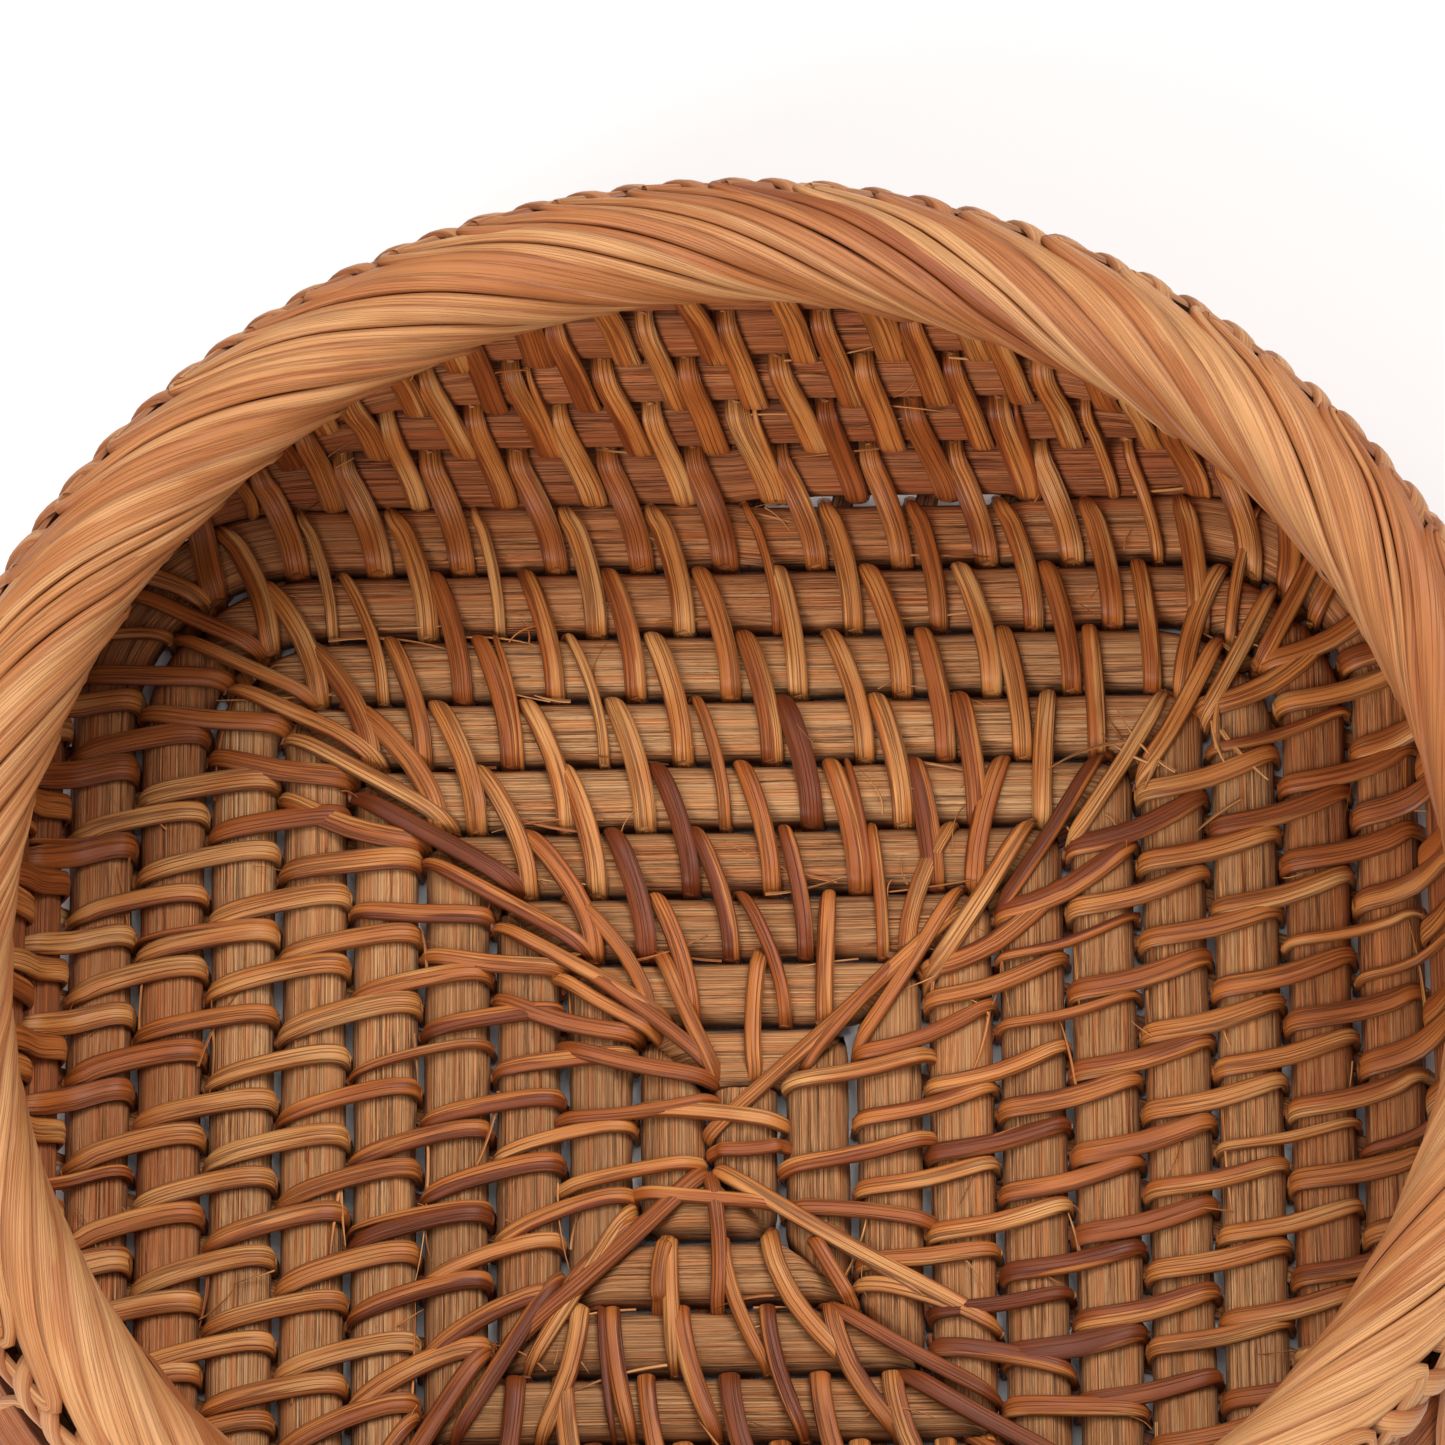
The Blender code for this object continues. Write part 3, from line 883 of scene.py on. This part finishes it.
# Where the strands of the middle start and end, in mm from the start of the coil: x, y, x, y, width
CENTRE_STRANDS = (
    (-19.8, 20.9, -3.5, 7.4, 1.9),
    (-22.4, 19.6, -10.4, 12.0, 1.7),
    (-9.9, 22.4, -3.4, 6.6, 1.9),
    (1.9, 22.4, 1.1, 6.6, 2.0),
    (25.4, 27.4, -4.2, -0.8, 1.9),
    (19.0, 21.6, 7.1, 7.7, 1.6),
    (-21.9, 10.4, -3.7, 6.0, 2.1),
    (-21.9, 1.2, -3.6, 3.5, 1.7),
    (-13.1, 2.3, 4.6, 0.4, 2.1),
    (-21.9, -7.7, -5.2, -4.4, 1.8),
    (-4.0, -3.1, 5.0, -2.5, 1.8),
    (4.4, -5.4, 22.0, -1.7, 2.1),
    (4.9, 5.4, 22.0, 8.9, 2.1),
    (-13.2, -8.2, 4.6, -10.2, 1.8),
    (-27.6, -26.9, -4.9, -5.6, 2.3),
    (-21.6, -21.2, -12.4, -11.5, 1.9),
    (-3.3, -22.6, -4.1, -5.8, 1.9),
    (28.4, -25.0, -3.3, -5.4, 2.1),
    (22.5, -22.6, 8.6, -12.6, 1.9),
    (4.6, -10.4, 22.0, -12.4, 2.0),
    (-10.2, -22.6, -9.2, -13.7, 1.9),
    (7.6, -13.7, 12.4, -22.6, 1.9),
)


def centre_strand(sweeps, start, end, width, rng):
    """A thin strand laid over the innermost rows, which dives between them at both ends."""
    ahead = (end - start).normalized()
    aside = UP.cross(ahead)
    sway = rng.uniform(-0.0006, 0.0006)
    dip = ahead * 0.0003
    shoulder = UP * 0.0022
    elbow = UP * 0.0006
    points = [start + dip - shoulder, start - dip + elbow, start + dip * 3 + shoulder]
    normals = [-ahead, -ahead, (UP - ahead).normalized()]
    crown = 0.00275 + rng.uniform(0, 0.0004)
    for share in (0.16, 0.38, 0.62, 0.84):
        points.append(start.lerp(end, share) + UP * crown + aside * sway * math.sin(math.pi * share))
        normals.append(UP.copy())
    points += [end - dip * 3 + shoulder, end + dip + elbow, end - dip - shoulder]
    normals += [(UP + ahead).normalized(), ahead.copy(), ahead.copy()]
    points = smooth_path(points, 3)
    normals = [normal.normalized() for normal in smooth_path(normals, 3)]
    last = len(points) - 1
    widths = [width * (1 - 0.25 * (2 * i / last - 1) ** 4) for i in range(last + 1)]
    tone = rng.uniform(0.35, 0.75)
    sections = ribbon_sections(points, normals)
    sweeps.add(sections, lengths_along(points), widths, PEEL_OUTLINE, rng.uniform(0, 60), tone)


def centre_lacing(look):
    """The strands that hold the innermost rows and run out along the diagonals."""
    rng = np.random.default_rng(LACING_SEED)
    sweeps = Sweeps()
    for x, y, end_x, end_y, width in CENTRE_STRANDS:
        start = Vector((x * MM, y * MM, FLOOR_LEVEL))
        end = Vector((end_x * MM, end_y * MM, FLOOR_LEVEL))
        centre_strand(sweeps, start, end, width * MM, rng)
    piece = sweeps.mesh("centre_lacing", look)


# ---------------------------------------------------------------- rim

def rim_point(azimuth, angle, lift=0.0):
    """(point, normal) on the wrap at an angle round the rim, counted from its outer side over the top."""
    out = Vector((math.cos(azimuth), math.sin(azimuth), 0))
    radial = out * math.cos(math.radians(angle)) + UP * math.sin(math.radians(angle))
    return out * RIM_RADIUS + UP * RIM_HEIGHT + radial * (RIM_TUBE - WRAP_SINK + lift), radial


def wall_point(azimuth, row, height):
    """(point, normal) at an azimuth on the wall, at a height above the middle of its cane."""
    turn = (-math.degrees(azimuth) - 45.0) % 360.0 / 90.0
    index = min(int(turn), 3)
    side = TURN[index]
    start = diagonal(side, row, False)
    end = diagonal(side, row, True)
    point, _, _, inward = surface(side, row, start + (end - start) * (turn - index))
    return point + inward * height, inward * (1 if height > 0 else -1)


WRAP_OUTLINE = (
    (1.0, -0.00034), (0.0, -0.00036), (-1.0, -0.00034), (-1.0, -0.00002), (-0.88, 0.00028),
    (-0.55, 0.00050), (0.0, 0.00058), (0.55, 0.00046), (0.88, 0.00024), (1.0, -0.00008),
)
# The outer leg of a pass: (share of the way to its fold, angle round the rim in degrees, lift in metres)
WRAP_LEG = (
    (0.22, -38, 0.0003),
    (0.5, -14, 0.0005),
    (0.76, 6, 0.0006),
    (0.93, 20, 0.0007),
)
# The same for a loop of the braid at the rim's outer edge, with its turn round the rim in radians first
EDGE_LOOP = (
    (0.040, -34, -0.0004),
    (0.026, -18, 0.0010),
    (0.0, 4, 0.0016),
    (-0.024, 22, 0.0010),
    (-0.038, 33, -0.0005),
)


def smooth_spots(spots, steps):
    """(points, normals) of a smooth course through (point, normal) pairs."""
    points = smooth_path([point for point, _ in spots], steps)
    normals = [normal.normalized() for normal in smooth_path([normal for _, normal in spots], steps)]
    return points, normals


def pass_course(fold, rng):
    """(points, normals) of one pass: up the outside, folded at the edge, and over the rim to the wall."""
    step = math.tau / WRAP_PASSES
    lead = WRAP_LEAD / RIM_RADIUS
    fold_width = 0.006
    tied_row = 14.5
    spots = [wall_point(fold - lead + step, tied_row, -0.0028)]
    for share, angle, lift in WRAP_LEG:
        spots.append(rim_point(fold - (lead - step) * (1 - share), angle, lift))
    spots.append(rim_point(fold + fold_width, 30, 0.0009))
    spots.append(rim_point(fold - fold_width, 40, 0.0006))
    for angle in (58, 80, 102, 124, 146, 168, 190, 208):
        share = (angle - 30) / 175
        spots.append(rim_point(fold - lead * share, angle, 0.0001 * rng.normal()))
    spots.append(rim_point(fold - lead * 1.06, 228, 0.0))
    spots.append(wall_point(fold - lead * 1.09, tied_row + 0.45, 0.0028))
    spots.append(wall_point(fold - lead * 1.1, tied_row + 0.1, 0.0026))
    spots.append(wall_point(fold - lead * 1.1, tied_row, 0.0010))
    return smooth_spots(spots, 3)


def wrap_pass(sweeps, count, rng):
    """One pass of the wrap, split into one to three strips."""
    fold = -count * (math.tau / WRAP_PASSES) + rng.normal(0, 0.003)
    points, normals = pass_course(fold, rng)
    total = rng.normal(4.25, 0.25) * MM
    last = len(points) - 1
    over = [ease(i / last, 0.28, 0.42) * (1 - ease(i / last, 0.82, 0.97)) for i in range(last + 1)]
    tone = rng.normal(0.54, 0.24)
    splits = rng.choice((1, 2, 3), p=(0.50, 0.40, 0.10))
    shares = rng.uniform(0.7, 1.3, splits)
    shares /= shares.sum()
    begin = -0.5
    for share in shares:
        wrap_strip(sweeps, points, normals, over, total, begin + share / 2, share, tone, rng)
        begin += share


def wrap_strip(sweeps, points, normals, over, total, centre, share, tone, rng):
    """One strip of a pass. The strips of a pass lie side by side and leave thin gaps between them.

    over: how far the pass has spread to its full width at each point, from 0 to 1
    """
    tilt = 0.11
    folded_width = 0.68
    sway = wander(rng, 0.03)
    lengths = lengths_along(points)
    lift = rng.uniform(0, 0.0002)
    sections = []
    widths = []
    for (middle, across, normal), full, length in zip(ribbon_sections(points, normals), over, lengths):
        across, normal = (across + normal * tilt).normalized(), (normal - across * tilt).normalized()
        wide = total * (folded_width + (1 - folded_width) * full)
        widths.append(wide * share * (0.95 + 0.07 * sway(length)))
        sections.append((middle + across * wide * centre + normal * lift, across, normal))
    tone = min(max(tone + rng.normal(0, 0.10), 0.02), 1.0)
    sweeps.add(sections, lengths, widths, WRAP_OUTLINE, rng.uniform(0, 90), tone)


def edge_loop(sweeps, azimuth, rng):
    """A short loop of the braid at the outer edge of the rim, laid across the passes."""
    spots = [rim_point(azimuth + away, angle, lift) for away, angle, lift in EDGE_LOOP]
    points, normals = smooth_spots(spots, 4)
    last = len(points) - 1
    width = rng.normal(3.6, 0.25) * MM
    widths = [width * (1 - 0.35 * (2 * i / last - 1) ** 2) for i in range(last + 1)]
    tone = min(max(rng.normal(0.60, 0.16), 0.02), 1.0)
    sections = ribbon_sections(points, normals)
    sweeps.add(sections, lengths_along(points), widths, WRAP_OUTLINE, rng.uniform(0, 90), tone)


def rim_wrap(look):
    """The wrap in four quarters, with the loops of the braid at its outer edge."""
    rng = np.random.default_rng(RIM_SEED)
    passes = WRAP_PASSES // WRAP_STRANDS
    loops = EDGE_LOOPS // WRAP_STRANDS
    for index, quarter in enumerate(("right", "front", "left", "back")):
        sweeps = Sweeps()
        for count in range(index * passes, (index + 1) * passes):
            wrap_pass(sweeps, count, rng)
        for count in range(index * loops, (index + 1) * loops):
            shifted = count + rng.uniform(-0.08, 0.08)
            edge_loop(sweeps, -math.tau * shifted / EDGE_LOOPS, rng)
        piece = sweeps.mesh(f"wrap_{quarter}", look)
        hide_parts(f"rim_wrap_{quarter}")


# ---------------------------------------------------------------- loose fibres

HAIR_OUTLINE = (
    (1.0, 0.0), (0.3, -0.00009), (-0.6, -0.00008), (-1.0, 0.0), (-0.4, 0.00009), (0.6, 0.00008),
)
SLIVERS = 150
HAIRS = 170
TANGLED = 8
FRAYED = 40


def hair(sweeps, start, ahead, up, length, width, curl, tone, rng):
    """A loose fibre that bends away from its root."""
    pieces = 6
    points = []
    aside = ahead.cross(up).normalized()
    bend = rng.uniform(-1, 1) * curl
    rise = rng.uniform(0.2, 1.0) * curl
    for i in range(pieces + 1):
        t = i / pieces
        height = 0.35 * rise * t - 0.3 * t * t * t * rise
        points.append(start + ahead * length * t + aside * bend * length * t * t + up * length * height)
    points = smooth_path(points, 2)
    normals = [up.copy() for _ in points]
    last = len(points) - 1
    widths = [width * (1 - 0.75 * (i / last) ** 2) for i in range(len(points))]
    sections = ribbon_sections(points, normals)
    sweeps.add(sections, lengths_along(points), widths, HAIR_OUTLINE, rng.uniform(0, 60), tone)


def any_direction(tangent, across, rng):
    angle = rng.uniform(0, math.tau)
    return tangent * math.cos(angle) + across * math.sin(angle)


def somewhere(side, row, rng):
    """A place on a row of a side, as surface gives it, that keeps clear of the corners."""
    reach = diagonal(side, row, True) * 0.92
    return surface(side, row, rng.uniform(-reach, reach))


def sliver(sweeps, rng):
    """A splinter along the edge of a row of cane."""
    side = TURN[rng.integers(4)]
    row = rng.integers(2, 13) + 0.5 + rng.choice((-0.09, 0.09))
    point, tangent, across, inward = somewhere(side, row, rng)
    ahead = (tangent * rng.choice((-1, 1)) + across * rng.normal(0, 0.10)).normalized()
    length = rng.uniform(4.0, 15.0) * MM
    width = rng.uniform(0.2, 0.5) * MM
    hair(sweeps, point + inward * 0.0019, ahead, inward, length, width, 0.25, rng.uniform(0.5, 1.0), rng)


def short_hair(sweeps, rng):
    """A short curled hair anywhere on the floor or the wall."""
    side = TURN[rng.integers(4)]
    row = rng.uniform(2.6, 12.6)
    point, tangent, across, inward = somewhere(side, row, rng)
    ahead = any_direction(tangent, across, rng)
    length = rng.uniform(2.0, 7.0) * MM
    width = rng.uniform(0.12, 0.3) * MM
    hair(sweeps, point + inward * 0.0023, ahead, inward, length, width, 0.9, rng.uniform(0.45, 1.0), rng)


def tangled_fibre(sweeps, rng):
    """A pale fibre of the tangle on the right of the floor."""
    point, tangent, across, inward = surface(RIGHT, rng.uniform(5.6, 7.2), -rng.uniform(0.040, 0.052))
    ahead = (tangent * rng.uniform(-0.6, 1.0) - across * rng.uniform(-0.6, 1.0)).normalized()
    length = rng.uniform(6, 14) * MM
    width = rng.uniform(0.4, 0.9) * MM
    hair(sweeps, point + inward * 0.0028, ahead, inward, length, width, 0.4, 1.0, rng)


def frayed_end(sweeps, rng):
    """A frayed end of peel in the corner between the back and the right of the wall."""
    row = rng.uniform(9.8, 12.5)
    from_corner = rng.uniform(0.0, 0.016)
    point, tangent, across, inward = surface(BACK, row, diagonal(BACK, row, True) - from_corner)
    ahead = any_direction(tangent, across, rng)
    length = rng.uniform(2, 6) * MM
    width = rng.uniform(0.2, 0.8) * MM
    hair(sweeps, point + inward * 0.0024, ahead, inward, length, width, 1.2, rng.uniform(0.2, 0.9), rng)


def loose_fibres(look):
    rng = np.random.default_rng(FIBRE_SEED)
    sweeps = Sweeps()
    kinds = ((sliver, SLIVERS), (short_hair, HAIRS), (tangled_fibre, TANGLED), (frayed_end, FRAYED))
    for kind, count in kinds:
        for _ in range(count):
            kind(sweeps, rng)
    piece = sweeps.mesh("loose_fibres", look)


# ---------------------------------------------------------------- stage

def area_light(name, place_at, target, size, power, colour):
    """A soft round light. Sizes are in metres, and power in watts."""
    data = bpy.data.lights.new(name, "AREA")
    data.shape = "DISK"
    data.size = size
    data.energy = power
    data.color = colour
    lamp = bpy.data.objects.new(name, data)
    bpy.context.scene.collection.objects.link(lamp)
    lamp.location = place_at
    lamp.rotation_euler = (Vector(target) - Vector(place_at)).to_track_quat("-Z", "Y").to_euler()


def pale_floor():
    """A plain floor just under the lowest stitches."""
    size = 3.0
    level = -0.0001
    mesh = bpy.data.meshes.new("floor")
    corners = [(-size, -size, level), (size, -size, level), (size, size, level), (-size, size, level)]
    mesh.from_pydata(corners, [], [(0, 1, 2, 3)])
    made, _, shader = new_material("pale_floor")
    shader.inputs["Base Color"].default_value = (0.92, 0.92, 0.93, 1)
    shader.inputs["Roughness"].default_value = 0.9
    mesh.materials.append(made)
    ground = bpy.data.objects.new("floor", mesh)
    bpy.context.scene.collection.objects.link(ground)


def stage():
    pale_floor()
    world = bpy.data.worlds.new("studio")
    world.use_nodes = True
    background = world.node_tree.nodes["Background"]
    background.inputs["Color"].default_value = (1.0, 0.99, 0.98, 1)
    background.inputs["Strength"].default_value = 0.42
    bpy.context.scene.world = world
    area_light("key", (0.45, 0.55, 1.1), (0, 0, 0.02), 0.7, 10.0, (1.0, 0.98, 0.95))
    area_light("fill", (-0.55, -1.0, 0.85), (0, 0, 0.03), 0.9, 15.0, (1.0, 0.99, 0.98))
    area_light("top", (-0.1, 0.0, 1.4), (0, 0, 0.0), 0.9, 3.5, (1.0, 1.0, 1.0))
    bpy.context.scene.view_settings.view_transform = "Standard"


def camera():
    """The camera at the angle of the photo. It looks down steeply, and the frame cuts off the near side."""
    elevation = math.radians(65.84)
    yaw = math.radians(3.69)
    roll = math.radians(-4.37)
    distance = 1.40843
    target = Vector((-0.00238, 0.05203, 0.0052))
    level_back = Vector((math.sin(yaw) * math.cos(elevation), -math.cos(yaw) * math.cos(elevation), 0))
    back = level_back + UP * math.sin(elevation)
    right = Vector((math.cos(yaw), math.sin(yaw), 0))
    up = back.cross(right)
    tilted = right * math.cos(roll) + up * math.sin(roll)
    upright = up * math.cos(roll) - right * math.sin(roll)
    data = bpy.data.cameras.new("camera")
    data.sensor_width = 36.0
    data.lens = 294.2
    data.clip_end = 20.0
    eye = bpy.data.objects.new("camera", data)
    bpy.context.scene.collection.objects.link(eye)
    turn = Matrix((tilted, upright, back)).transposed().to_4x4()
    eye.matrix_world = Matrix.Translation(target + back * distance) @ turn
    bpy.context.scene.camera = eye


def build():
    canes = {name: cane_material(name + "_cane_look", **colours) for name, colours in CANE_COLOURS.items()}
    peel = peel_material(
        "stitch_peel_look", STITCH_TONES, STITCH_STREAK, roughness=0.44, lines_per_mm=1.7, contrast=0.75
    )
    rim = peel_material(
        "rim_peel_look", RIM_TONES, RIM_STREAK, roughness=0.46, lines_per_mm=2.6, contrast=0.34
    )
    hidden = hidden_cane_material()
    for row in range(1, WALL_ROWS + 1):
        coil_row(row, canes[cane_colour(row)])
    strands(peel)
    centre_lacing(peel)
    rim_wrap(rim)
    loose_fibres(peel)
    for name in ("rim_coil", "rim_hoop_outer", "rim_hoop_inner"):
        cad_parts[name].data.materials[0] = hidden
    stage()
    camera()


build()
